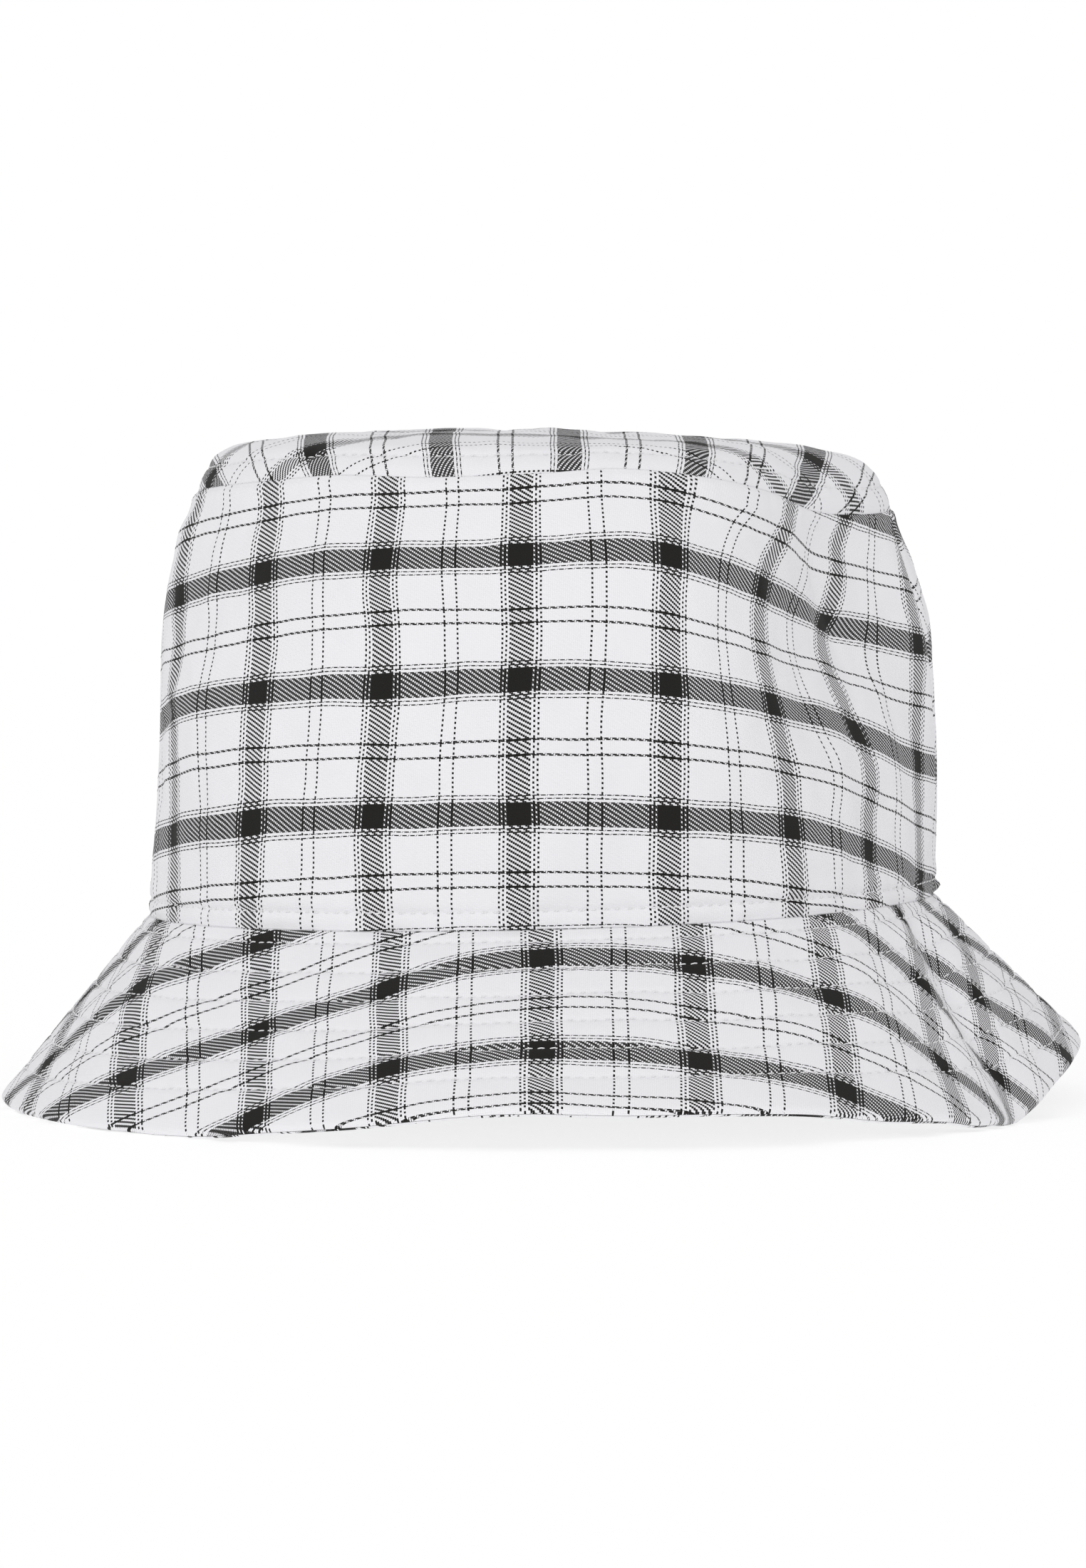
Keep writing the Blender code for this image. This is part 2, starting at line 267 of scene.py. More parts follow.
# Small folds of the wall: (azimuth, mm up it, reach across and up it in mm, slope, depth).
WALL_FOLDS = [
    (-78, 47, 9, 3.0, 0.25, -1.6), (-70, 52, 10, 5.0, 0.2, 0.9), (67, 93, 14, 5.0, -0.2, -1.8),
]
LUMP = (89.5, 2.5)  # where the right side seam's layers meet the brim: azimuth, mm up


def wall_relief(azimuth, t):
    up, down, side = t * WALL_MM, (1 - t) * WALL_MM, seam_side(azimuth)
    x = off(azimuth, 0) * WALL_TURN_MM
    free = step_up(up, 2, 12) * step_up(down, 2, 10) * step_up(side, 1, 8)
    loose = 0.42 * BIG(x, up * 0.6) + 0.16 * SMALL(x, up)
    foot = 0.3 * hill(up, 2.0, 1.2) - 0.36 * hill(up, BASE_ROW_MM, 0.55)
    foot += 0.3 * hill(up, BASE_ROW_MM + 2.4, 1.7)
    foot += 0.16 * PUCKER(x, up * 0.35) * hill(up, BASE_ROW_MM, 3.4)
    top = 0.42 * hill(down, 1.7, 1.5) + 0.14 * PUCKER(x + 40, up * 0.3) * hill(down, 2.5, 3)
    seam = 0.26 * hill(side, 3.2, 2.4) - 0.5 * hill(side, 0, 0.7)
    seam = seam * step_up(up, 0, 2) * step_up(down, 0, 2)
    folds = 0
    for middle, height, across, along, lean, depth in WALL_FOLDS:
        around = off(azimuth, middle) * WALL_TURN_MM
        fold = hill(up - height - lean * around, 0, along) * hill(around, 0, across)
        folds = folds + depth * fold
    folds = folds * step_up(up, 0, 6) * step_up(down, 0, 2)
    ends = step_up(up, 0, 1.2) * step_up(down, 0, 1.2)
    lump = hill(off(azimuth, LUMP[0]) * WALL_TURN_MM, 0, 1.8) * hill(up, LUMP[1], 1.7)
    lump = 1.6 * lump * step_up(up, 0, 1)
    return free * loose + (foot + top) * ends + seam + folds + lump


def tip_relief(azimuth, distance):
    turn = np.radians(azimuth)
    radius = BASE_RADIUS / MM - distance
    x, y = radius * np.sin(turn), -radius * np.cos(turn)
    loose = (0.3 * BIG(x, y) + 0.14 * SMALL(x, y)) * step_up(distance, 3, 14)
    edge = 0.24 * hill(distance, 2.6, 1.6) - 0.36 * hill(distance, TIP_ROW_MM, 0.6)
    edge += 0.28 * hill(distance, TIP_ROW_MM + 2.6, 1.8)
    around = off(azimuth, 0) * TIP_TURN_MM
    edge += 0.16 * PUCKER(around, distance * 0.35) * hill(distance, TIP_ROW_MM, 3.6)
    overhang = 1.5 * bump(azimuth, 67, 27) * hill(distance, 4.5, 4.0)
    return loose + (edge + overhang) * step_up(distance, 0, 1.2)


# The fold down the right of the brim: (share of its width, azimuth).
VALLEY = [(0, 68), (0.45, 60.6), (1, 56.2)]
VALLEY_RADIUS_MM = 108  # about, from the middle of the hat


def brim_bend(azimuth, distance, long):
    """What all the brim's layers follow: its soft waves and the fold."""
    loose = 0.4 * BIG(off(azimuth, 0) * BRIM_TURN_MM + 30, distance)
    loose = loose * step_up(seam_side(azimuth), 1, 9) * step_up(distance, 2, 12)
    fold = np.radians(off(azimuth, through(VALLEY, distance / long))) * VALLEY_RADIUS_MM
    valley = 0.8 * hill(fold, -10, 5) - 2.4 * hill(fold, 0, 4.5) + 0.8 * hill(fold, 10, 5)
    return loose + valley * step_up(distance, 0, 9)


def brim_quilt(azimuth, distance, long):
    """The upper cloth's. The six rows of stitches pull it down, and it puffs up between them."""
    x, side = off(azimuth, 0) * BRIM_TURN_MM, seam_side(azimuth)
    quilt, puckers = 0, 0
    for row in BRIM_ROWS_MM:
        quilt = quilt - 0.34 * hill(distance, row, 0.6) - 0.18 * hill(distance, row, 1.9)
        puckers = puckers + hill(distance, row, 2.6)
    puff = 0.22 * (1 + 0.5 * SMALL(x * 0.5 + 70, distance * 0.2))
    quilt = quilt + puff * step_up(distance, 0.6, 2.2) * step_up(long - distance, 0.8, 3)
    puckers = 0.13 * puckers * PUCKER(x, distance * 0.3 + 20)
    seam = 0.22 * hill(side, 3.6, 2.6) - 0.45 * hill(side, 0, 0.7)
    return (quilt + puckers + seam) * step_up(distance, 0, 1.5)


# ---- where the check lies on each flat panel -----------------------------------------------------

WALL_RHO_MM = 850
HALF_ROUND_MM = 143.5  # half of a wall panel's length
WALL_STRIPE_MM = (-5.5, 25.5)  # a crossing of main stripes on the wall's flat panel
BRIM_RHO_MM = 135
BRIM_LENGTH_MM = 55.7
BRIM_HALF_TURN = 61.2  # half of the flat brim panel's angle
BRIM_STRIPE_MM = 144.3
TIP_STRIPE_MM = (5.7, -54.5)
UNDER_BRIM_OFFSET_MM = (9.0, 11.0)  # from the upper cloth's check

# How the front's cloth has shifted round and up the wall: (azimuth, mm at each height).
SHIFT_HEIGHTS = (0.05, 0.2, 0.35, 0.5, 0.65, 0.8, 0.95)
SHIFT_ACROSS = [
    (-92, (4, 8, 9.5, 11, 8, 9, 5)), (-73, (3, 7, 8.5, 11, 7.5, 8.5, 4)),
    (-46, (2, 1, 0, -0.5, -1, 0.5, -1)), (-24, (0, 0, -1, -2.5, -2.5, -1, -3)),
    (-3, (0, 0, 0, 0, -0.5, -0.5, -0.5)), (19, (-0.5, -0.5, -0.5, -0.5, -0.5, -1, -1)),
    (37, (-1, 0, 0.5, 4.5, 9, 3, -9)), (59, (3, 1, -4, 4, 9, -4, -9)),
    (80, (8, 6, 4, 0.5, -2.5, -1.5, -1)), (92, (8, 6, 4, 0.5, -2.5, -1.5, -1)),
]
SHIFT_UP = [
    (-88, (-1.5, -2.5, -3, -3, -2.5, -0.5, -0.5)), (-70, (-1.3, -2, -3, -2.5, -1, 0, 0)),
    (-46, (-0.5, -1, -2, -1.5, -0.5, 0.5, 1.5)), (-24, (-0.2, -0.7, -0.6, -0.4, -1, 0, 2)),
    (-3, (0, 0, 0, -0.5, -0.5, 0.5, 2)), (18, (1, 1.5, 1, 0.6, 1.5, 0.8, 2)),
    (37, (3.7, 2.3, 2.6, 2.9, 5.3, 4.7, 4)), (59, (6.4, 6, 4.8, 4.3, 5.9, 6, 3)),
    (75, (12, 10, 9, 7, 6, 5, 4)), (90, (12, 10.6, 9, 7, 6.5, 6, 5.5)),
]

# The same for the brim of the front: (azimuth, degrees of flat cloth beyond its even share), and
# (azimuth, mm outwards at each share of its width). More of it goes into the fold at its right.
BRIM_SHIFT_TURN = [
    (-92, 0), (-62, 1.2), (-50, -0.4), (-36, -1.6), (-18, 0), (25, 0), (38, 0), (48, 1),
    (54, 3.4), (60, 8.8), (65, 12.2), (70, 13), (77, 12), (84, 11), (95, 10.5),
]
BRIM_SHIFT_SHARES = (0.3, 0.8)
BRIM_SHIFT_OUT = [
    (-92, (-1, -1)), (-62, (-1.5, -2)), (-46, (-5, -2.4)), (-32, (-6, -2.7)), (-18, (-3.9, 0.5)),
    (-6, (0, 0)), (18, (0.6, 0.7)), (36, (0.9, 0.6)), (49, (0, 0.2)), (56, (-3.6, -3.5)),
    (62, (-7, -5)), (70, (-4, -1.8)), (85, (-1.2, -1.2)), (92, (-1, -1)),
]


def shifted(table, heights, azimuth, t):
    """The table's value on a grid of azimuths and heights, smooth between its own."""
    t = np.clip(t, heights[0], heights[-1])
    total = 0
    for k, height in enumerate(heights):
        share = through([(h, float(h == height)) for h in heights], t)
        total = total + share * through([(a, values[k]) for a, values in table], azimuth)
    return total


def arc_from(surface, azimuths, rows, middle):
    """Signed lengths in mm along each row of a grid from the azimuth in the middle."""
    line = surface(*both(azimuths[None, :], rows))
    steps = np.linalg.norm(np.diff(line, axis=1), axis=-1) / MM
    gone = np.concatenate([np.zeros((len(line), 1)), np.cumsum(steps, axis=1)], 1)
    zero = np.array([np.interp(middle, azimuths, g) for g in gone])
    return gone - zero[:, None]


def wall_grain(azimuths, rows, middle):
    """The back's check meets the front's at the right side seam."""
    rho = WALL_RHO_MM - WALL_MM * rows
    arc = arc_from(wall, azimuths, rows, middle)
    u, v = rho * np.sin(arc / rho), WALL_RHO_MM - rho * np.cos(arc / rho)
    front, eased = azimuths[None, :], 1
    if middle:
        front, eased = np.full_like(front, 90), 1 - step_up(front, 90, 135)
        u = u + 2 * rho * np.sin(HALF_ROUND_MM / rho)
    u = u + eased * shifted(SHIFT_ACROSS, SHIFT_HEIGHTS, front, rows)
    v = v + eased * shifted(SHIFT_UP, SHIFT_HEIGHTS, front, rows)
    return np.stack([u - WALL_STRIPE_MM[0], v - WALL_STRIPE_MM[1]], -1)


def brim_grain(azimuths, share, middle):
    turn = (azimuths - middle)[None, :] / 90 * BRIM_HALF_TURN
    rho = BRIM_RHO_MM + BRIM_LENGTH_MM * share
    if middle == 0:
        lean = (through(VALLEY, share) - 60) * step_up(azimuths, 30, 55)[None, :]
        turn = turn + through(BRIM_SHIFT_TURN, azimuths[None, :] - lean)
        rho = rho + shifted(BRIM_SHIFT_OUT, BRIM_SHIFT_SHARES, azimuths[None, :], share)
    phi = np.radians(turn)
    return np.stack([rho * np.sin(phi), BRIM_STRIPE_MM - rho * np.cos(phi)], -1)


def tip_grain(azimuths, rows):
    """The cloth's own distance from the middle of the tip, on each azimuth."""
    line = tip(*both(azimuths[None, :], rows))
    steps = np.linalg.norm(np.diff(line, axis=0), axis=-1) / MM
    gone = np.concatenate([np.zeros((1, len(azimuths))), np.cumsum(steps, axis=0)], 0)
    flat = polar(azimuths[None, :], gone[-1:] - gone, 0)
    return np.stack([flat[..., 1] - TIP_STRIPE_MM[1], TIP_STRIPE_MM[0] - flat[..., 0]], -1)


# ---- meshes --------------------------------------------------------------------------------------


def mesh_object(name, points, faces, corner_uv, smooth, material):
    mesh = bpy.data.meshes.new(name)
    mesh.from_pydata(np.asarray(points).reshape(-1, 3).tolist(), [], faces)
    layer = mesh.uv_layers.new(name="grain")
    layer.data.foreach_set("uv", np.asarray(corner_uv, np.float32).ravel())
    mesh.polygons.foreach_set("use_smooth", np.asarray(smooth, bool))
    mesh.materials.append(material)
    mesh.update()
    obj = bpy.data.objects.new(name, mesh)
    bpy.context.scene.collection.objects.link(obj)
    return obj


def shell(name, outer, inner, uv, material, ring=False, pole=False, flip=False):
    """A closed piece of cloth from the grids of its outer and inner face, joined round its rims.

    A ring's last column repeats its first one, and a pole's last row is one point.
    """
    lines, columns = outer.shape[:2]
    place = np.arange(2 * lines * columns).reshape(2, lines, columns)
    o, i = place[0], place[1]

    def quads(a, b, c, d):
        return np.stack([a.ravel(), b.ravel(), c.ravel(), d.ravel()], 1)

    last = lines - 1 if pole else lines
    top, low = o[:last], i[:last]
    faces = [
        quads(top[:-1, :-1], top[:-1, 1:], top[1:, 1:], top[1:, :-1]),
        quads(low[:-1, :-1], low[1:, :-1], low[1:, 1:], low[:-1, 1:]),
    ]
    cloth_faces = sum(len(f) for f in faces)
    faces.append(quads(o[0, 1:], o[0, :-1], i[0, :-1], i[0, 1:]))
    if not pole:
        faces.append(quads(o[-1, :-1], o[-1, 1:], i[-1, 1:], i[-1, :-1]))
    if not ring:
        faces.append(quads(o[:-1, 0], o[1:, 0], i[1:, 0], i[:-1, 0]))
        faces.append(quads(o[1:, -1], o[:-1, -1], i[:-1, -1], i[1:, -1]))
    faces = np.concatenate(faces)
    smooth = [True] * cloth_faces + [False] * (len(faces) - cloth_faces)
    faces = faces.tolist()
    if pole:
        for j in range(columns - 1):
            faces.append([o[-2, j], o[-2, j + 1], o[-1, j]])
            faces.append([i[-2, j + 1], i[-2, j], i[-1, j]])
            smooth += [True, True]
    if flip:
        faces = [face[::-1] for face in faces]

    owner = place.copy()
    if ring:
        owner[:, :, -1] = owner[:, :, 0]
    if pole:
        owner[:, -1, :] = owner[:, -1, :1]
    owner = owner.ravel()
    used, vertex = np.unique(owner, return_inverse=True)
    points = np.concatenate([outer.reshape(-1, 3), inner.reshape(-1, 3)])[used]
    flat = np.concatenate([uv.reshape(-1, 2), uv.reshape(-1, 2)])
    corners = np.concatenate([np.asarray(face) for face in faces])
    faces = [vertex[face].tolist() for face in faces]
    return mesh_object(name, points, faces, flat[corners], smooth, material)


HALF_REACH = 89.99  # degrees each side of a half panel's middle, just short of the next one's
WALL_COLUMNS = 232
BRIM_COLUMNS = 250


def half_azimuths(middle, count):
    """The azimuths of a half panel, closer together beside its side seams."""
    inside = np.linspace(-HALF_REACH + 1.4, HALF_REACH - 1.4, count)
    ends = np.array([0, 0.12, 0.28, 0.5, 0.8])
    return middle + np.concatenate([-HALF_REACH + ends, inside, (HALF_REACH - ends)[::-1]])


CLOSE_MARKS = np.array([-1, -0.62, -0.34, -0.12, 0.12, 0.34, 0.62, 1])
LEAST_STEP_MM = 0.12


def fine_rows(high, step, close, reach):
    """Distances from 0 to high in steps, with closer ones within reach of the places in close."""
    marks = list(np.arange(0, high, step)) + [high]
    for place in close:
        marks = [m for m in marks if abs(m - place) > reach]
        marks += list(place + CLOSE_MARKS * reach)
    marks = sorted(m for m in marks if 0 <= m <= high)
    kept = [marks[0]]
    for mark in marks[1:]:
        if mark - kept[-1] > LEAST_STEP_MM:
            kept.append(mark)
    return np.array(kept)


FOOT_ROWS_MM = [0, 0.4, 0.8]
TOP_ROWS_MM = WALL_MM - np.array([3.6, 2.9, 2.2, 1.6, 1.1, 0.7, 0.35, 0])


def wall_panel(name, middle, material, faces_mm, relief=True):
    azimuths = half_azimuths(middle, WALL_COLUMNS)
    up = fine_rows(WALL_MM, 1.25, [BASE_ROW_MM], 1.6)
    up = np.concatenate([FOOT_ROWS_MM, up[(up > 1.2) & (up < 96)], TOP_ROWS_MM])
    rows = np.broadcast_to((up / WALL_MM)[:, None], (len(up), len(azimuths)))
    points, normal = laid(wall, azimuths[None, :], rows)
    lift = wall_relief(azimuths[None, :], rows)
    if not relief:
        lift = np.minimum(inner_relief(azimuths[None, :], rows), lift + 0.4)
    outer = points + normal * ((lift - faces_mm[0]) * MM)[..., None]
    inner = points + normal * (under_face(lift, faces_mm) * MM)[..., None]
    return shell(name, outer, inner, wall_grain(azimuths, rows, middle), material)


def under_face(lift, faces_mm):
    """The inner face, which follows the outer one half as far, and keeps the cloth's thickness."""
    return np.minimum(0.5 * np.minimum(lift, 0.3) - faces_mm[1], lift - faces_mm[0] - 0.25)


def inner_relief(azimuth, t):
    """The lining's, which wrinkles the other way and is pulled in at its seams."""
    up, down, side = t * WALL_MM, (1 - t) * WALL_MM, seam_side(azimuth)
    x = off(azimuth, 0) * WALL_TURN_MM
    free = step_up(down, 2, 14) * step_up(side, 1, 8)
    loose = -0.5 + 0.5 * BIG(x * 1.4 + 90, up * 0.5)
    return free * loose * step_up(up, 30, 44) - 0.1 * hill(side, 2.5, 2)


def tip_panel(name, material, faces_mm, relief=True):
    azimuths = np.linspace(-180, 180, 361)
    away = fine_rows(60, 1.5, [TIP_ROW_MM], 1.6)
    away = np.concatenate([[0, 0.4, 0.8, 1.3, 2.0], away[away > 2.6]])
    rows = rows_along(tip, azimuths, away[:, None])
    to_centre = np.linspace(0, 1, 20)[1:, None]
    long = length_mm(tip, azimuths)[None, :]
    near = np.broadcast_to(away[:, None], rows.shape)
    distance = np.concatenate([near, away[-1] + (long - away[-1]) * to_centre])
    rows = np.concatenate([rows, rows[-1:] + (1 - rows[-1:]) * to_centre])
    points, normal = laid(tip, azimuths[None, :], rows)
    normal[-1] = (0, 0, 1)
    if relief:
        lift = tip_relief(azimuths[None, :], distance)
    else:
        lift = np.minimum(0.35 * BIG(points[..., 0] / MM, points[..., 1] / MM), 0.1)
    lift[-1] = lift[-1].mean()
    outer = points + normal * ((lift - faces_mm[0]) * MM)[..., None]
    inner = points + normal * (under_face(lift, faces_mm) * MM)[..., None]
    return shell(name, outer, inner, tip_grain(azimuths, rows), material, ring=True, pole=True)


def turned_edge(end, radius):
    """How far a face has turned in towards the middle of a rounded edge, at a distance from it."""
    inside = np.clip(radius - end, 0, radius)
    return radius - np.sqrt(np.maximum(radius**2 - inside**2, 0))


ROWS_REACH_MM = 47.5  # how much of the brim's width its rows of stitches need
ROWS_MARGIN_MM = 4.9  # from there to its edge
BRIM_FLOOR_MM = {1: 0.06, 0: 0.04, -1: 0.0}  # how low each of its layers may come


def rows_scale(azimuth):
    """How much closer together the brim's rows lie where the brim is narrower than they need."""
    return np.minimum(1, (length_mm(brim, azimuth) - ROWS_MARGIN_MM) / ROWS_REACH_MM)


def brim_grid(azimuths, margin_mm=0.0):
    """Each row's distance from the crown, its place in the pattern of rows, and where that ends."""
    long, scale = length_mm(brim, azimuths)[None, :] - margin_mm, rows_scale(azimuths)[None, :]
    near = fine_rows(ROWS_REACH_MM, 1.3, BRIM_ROWS_MM, 1.5)
    near = np.concatenate([[0, 0.5, 1.0], near[near > 1.5]])[:, None] * scale
    far = near[-1:] + (long - 1.9 - near[-1:]) * np.linspace(0, 1, 6)[1:, None]
    end = long - np.array([1.4, 1.0, 0.65, 0.38, 0.18, 0.06, 0])[:, None]
    spare = ROWS_REACH_MM * (1 - scale)
    pattern = np.concatenate([near / scale, far + spare, end + spare])
    return np.concatenate([near, far, end]), pattern, long + spare


def brim_panel(name, middle, material, faces_mm, side=1, margin_mm=0.0):
    """side is 1 for the upper cloth, -1 for the under cloth and 0 for the layer between them."""
    azimuths = half_azimuths(middle, BRIM_COLUMNS)
    distance, pattern, end = brim_grid(azimuths, margin_mm)
    share = distance / length_mm(brim, azimuths)[None, :]
    points, normal = laid(brim, azimuths[None, :], share)
    bend = brim_bend(azimuths[None, :], pattern, end)
    quilt = brim_quilt(azimuths[None, :], pattern, end)
    turned = turned_edge(end - pattern, UNDER_BRIM_MM[1] / 2)
    high, low = faces_mm
    if side == 1:
        outer = quilt - high - turned
        inner = np.minimum(0.5 * np.minimum(quilt, 0.2) - low, outer - 0.08)
    elif side == -1:
        outer = turned - low - 0.3 * quilt_below(pattern) + 0.1 * (quilt - 0.2)
        inner = np.maximum(-high, outer + 0.08)
    else:
        outer, inner = -high, -low
    outer, inner = outer + bend, inner + bend
    outer = points + normal * (outer * MM)[..., None]
    inner = points + normal * (inner * MM)[..., None]
    floor = BRIM_FLOOR_MM[side] * MM
    outer[..., 2] = np.maximum(outer[..., 2], floor)
    inner[..., 2] = np.maximum(inner[..., 2], floor + 0.02 * MM)
    grain = brim_grain(azimuths, share, middle)
    if side == -1:
        grain = grain + np.array(UNDER_BRIM_OFFSET_MM)
    return shell(name, outer, inner, grain, material, flip=side != -1)


def quilt_below(distance):
    """The under cloth's puffs, downwards, between the rows."""
    pulled = 0
    for row in BRIM_ROWS_MM:
        pulled = pulled + hill(distance, row, 1.2)
    return np.clip(0.8 - pulled, 0, 1) * step_up(distance, 0.5, 3)


# ---- stitches ------------------------------------------------------------------------------------

THREAD_RADIUS_MM = 0.19
THREAD_SIDES = 6
STITCH_MM = 2.7
STITCH_GAP_MM = 0.42
STITCH_RINGS = 7
STITCH_DIVE_MM = 0.34  # how deep in the cloth it ends
STITCH_RISE_MM = 0.1  # how far its middle stands out
THREAD_FLATNESS = 0.85


def stitches(name, place, material, seed, stitch=STITCH_MM):
    """A row of single stitches, each one a closed length of thread that dives in at both ends.

    place gives the cloth's points and the normals that the stitches stand up along.
    """
    fine = np.linspace(-180, 180, 2400)
    points, _ = place(fine)
    gone = np.concatenate([[0], np.cumsum(np.linalg.norm(np.diff(points, axis=0), axis=1))]) / MM
    count = max(1, round(gone[-1] / stitch))
    dice = np.random.RandomState(seed)
    jitter = dice.uniform(-0.12, 0.12, count + 1)
    jitter[0] = jitter[-1] = 0
    ends = np.linspace(0, gone[-1], count + 1) + jitter
    share = np.linspace(0, 1, STITCH_RINGS)
    first, final = ends[:-1] + STITCH_GAP_MM / 2, ends[1:] - STITCH_GAP_MM / 2
    at = first[:, None] + (final - first)[:, None] * share
    points, up = place(np.interp(at, gone, fine).ravel())
    points, up = points.reshape(count, -1, 3), up.reshape(count, -1, 3)
    ahead = np.gradient(points, axis=1)
    ahead /= np.linalg.norm(ahead, axis=-1, keepdims=True)
    aside = np.cross(up, ahead)
    arch = np.sin(math.pi * share) ** 0.6
    slant = (0.16 + dice.uniform(-0.08, 0.08, count))[:, None] * (share - 0.5)
    height = STITCH_DIVE_MM + STITCH_RISE_MM + dice.uniform(-0.03, 0.03, count)
    rise = -STITCH_DIVE_MM + arch * height[:, None]
    points = points + up * (rise * MM)[..., None] + aside * (slant * MM)[..., None]
    sides = THREAD_SIDES
    around = np.arange(sides) / sides * math.tau
    thick = THREAD_RADIUS_MM * (0.62 + 0.38 * arch) * MM
    ring = (
        aside[:, :, None] * np.cos(around)[None, None, :, None]
        + up[:, :, None] * THREAD_FLATNESS * np.sin(around)[None, None, :, None]
    ) * thick[None, :, None, None]
    tube = points[:, :, None] + ring
    n = STITCH_RINGS * sides
    first_faces = []
    for k in range(STITCH_RINGS - 1):
        for m in range(sides):
            a, b = k * sides + m, k * sides + (m + 1) % sides
            first_faces.append((a, b, b + sides, a + sides))
    caps = [(3, 2, 1, 0), (5, 4, 3, 0), (n - 6, n - 5, n - 4, n - 3), (n - 6, n - 3, n - 2, n - 1)]
    one = np.array(first_faces + caps)
    faces = (one[None] + (np.arange(count) * n)[:, None, None]).reshape(-1, 4)
    lengthwise = np.repeat(at[:, :, None], sides, 2)
    round_it = np.broadcast_to(around / math.tau, lengthwise.shape)
    uv = np.stack([lengthwise, round_it], -1).reshape(-1, 2)
    smooth = np.tile([True] * len(first_faces) + [False] * len(caps), count)
    return mesh_object(name, tube, faces.tolist(), uv[faces.ravel()], smooth, material)


def joined(name, objects):
    """One object from several, which is then the first one's."""
    with bpy.context.temp_override(active_object=objects[0], selected_editable_objects=objects):
        bpy.ops.object.join()
    objects[0].name = objects[0].data.name = name
    return objects[0]


# ---- materials -----------------------------------------------------------------------------------


class Term:
    """A number in a material's node graph, so that a formula reads as one."""

    def __init__(self, tree, socket):
        self.tree, self.socket = tree, socket

    def op(self, operation, *others):
        node = self.tree.nodes.new("ShaderNodeMath")
        node.operation = operation
        for place, value in zip(node.inputs, (self, *others), strict=False):
            if isinstance(value, Term):
                self.tree.links.new(value.socket, place)
            else:
                place.default_value = value
        return Term(self.tree, node.outputs[0])

    def __add__(self, other):
        return self.op("ADD", other)

    def __sub__(self, other):
        return self.op("SUBTRACT", other)

    def __mul__(self, other):
        return self.op("MULTIPLY", other)

    def __truediv__(self, other):
        return self.op("DIVIDE", other)

    def __pow__(self, other):
        return self.op("POWER", other)

    def floor(self):
        return self.op("FLOOR")

    def rest(self):
        return self.op("FRACT")

    def size(self):
        return self.op("ABSOLUTE")

    def mod(self, other):
        return self.op("FLOORED_MODULO", other)

    def under(self, other):
        return self.op("LESS_THAN", other)

    def larger(self, other):
        return self.op("MAXIMUM", other)

    def near(self, other, within=0.3):
        return self.op("COMPARE", other, within)

    def flipped(self):
        return self * -1.0 + 1.0

    def clamped(self):
        held = self * 1.0
        held.socket.node.use_clamp = True
        return held

    def smooth(self, low, high):
        """0 below low, 1 above high."""
        node = self.tree.nodes.new("ShaderNodeMapRange")
        node.interpolation_type = "SMOOTHSTEP"
        self.tree.links.new(self.socket, node.inputs["Value"])
        node.inputs["From Min"].default_value = low
        node.inputs["From Max"].default_value = high
        return Term(self.tree, node.outputs["Result"])


class Cloth:
    """A new material with its UV in mm, and what every cloth's graph needs."""

    def __init__(self, name, roughness, sheen=0.0, sheen_roughness=0.5):
        self.material = bpy.data.materials.new(name)
        self.material.use_nodes = True
        self.tree = self.material.node_tree
        self.shader = self.tree.nodes["Principled BSDF"]
        self.shader.inputs["Roughness"].default_value = roughness
        self.shader.inputs["Sheen Weight"].default_value = sheen
        self.shader.inputs["Sheen Roughness"].default_value = sheen_roughness
        self.shader.inputs["Specular IOR Level"].default_value = 0.18
        uv = self.tree.nodes.new("ShaderNodeUVMap")
        uv.uv_map = "grain"
        self.uv = uv.outputs["UV"]
        split = self.tree.nodes.new("ShaderNodeSeparateXYZ")
        self.tree.links.new(self.uv, split.inputs[0])
        self.u, self.v = Term(self.tree, split.outputs[0]), Term(self.tree, split.outputs[1])

    def noise(self, scale, detail=2.0, roughness=0.5):
        """A noise of 0 to 1 over the cloth, with its scale per mm."""
        node = self.tree.nodes.new("ShaderNodeTexNoise")
        node.noise_dimensions = "2D"
        self.tree.links.new(self.uv, node.inputs["Vector"])
        node.inputs["Scale"].default_value = scale
        node.inputs["Detail"].default_value = detail
        node.inputs["Roughness"].default_value = roughness
        return Term(self.tree, node.outputs["Fac"])

    def mix(self, share, a, b):
        node = self.tree.nodes.new("ShaderNodeMix")
        node.data_type = "RGBA"
        self.tree.links.new(share.socket, node.inputs["Factor"])
        for socket, value in ((node.inputs[6], a), (node.inputs[7], b)):
            if isinstance(value, tuple):
                socket.default_value = (*value, 1)
            else:
                self.tree.links.new(value, socket)
        return node.outputs[2]

    def shaded(self, colour, share):
        """The colour times a share."""
        node = self.tree.nodes.new("ShaderNodeVectorMath")
        node.operation = "SCALE"
        self.tree.links.new(colour, node.inputs[0])
        self.tree.links.new(share.socket, node.inputs["Scale"])
        return node.outputs[0]

    def finish(self, colour, height, depth_mm, roughness=None):
        self.tree.links.new(colour, self.shader.inputs["Base Color"])
        bumped = self.tree.nodes.new("ShaderNodeBump")
        bumped.inputs["Distance"].default_value = depth_mm * MM
        self.tree.links.new(height.socket, bumped.inputs["Height"])
        self.tree.links.new(bumped.outputs[0], self.shader.inputs["Normal"])
        if roughness is not None:
            self.tree.links.new(roughness.socket, self.shader.inputs["Roughness"])
        return self.material


WHITE = (0.885, 0.878, 0.905)
BLACK = (0.0125, 0.012, 0.0108)
THREAD_ACROSS_MM = 0.447  # the pitch of the threads that run up the wall
THREAD_UP_MM = 0.266
# The check, in threads: repeat, half a main stripe, two lines beside it, and a line this far from
# halfway to the next stripe, with half its width.
ACROSS_CHECK = (74, 6, 7.5, 9.5, 3.5, 0.3)
UP_CHECK = (108, 10, 12.5, 15.5, 6, 0.6)


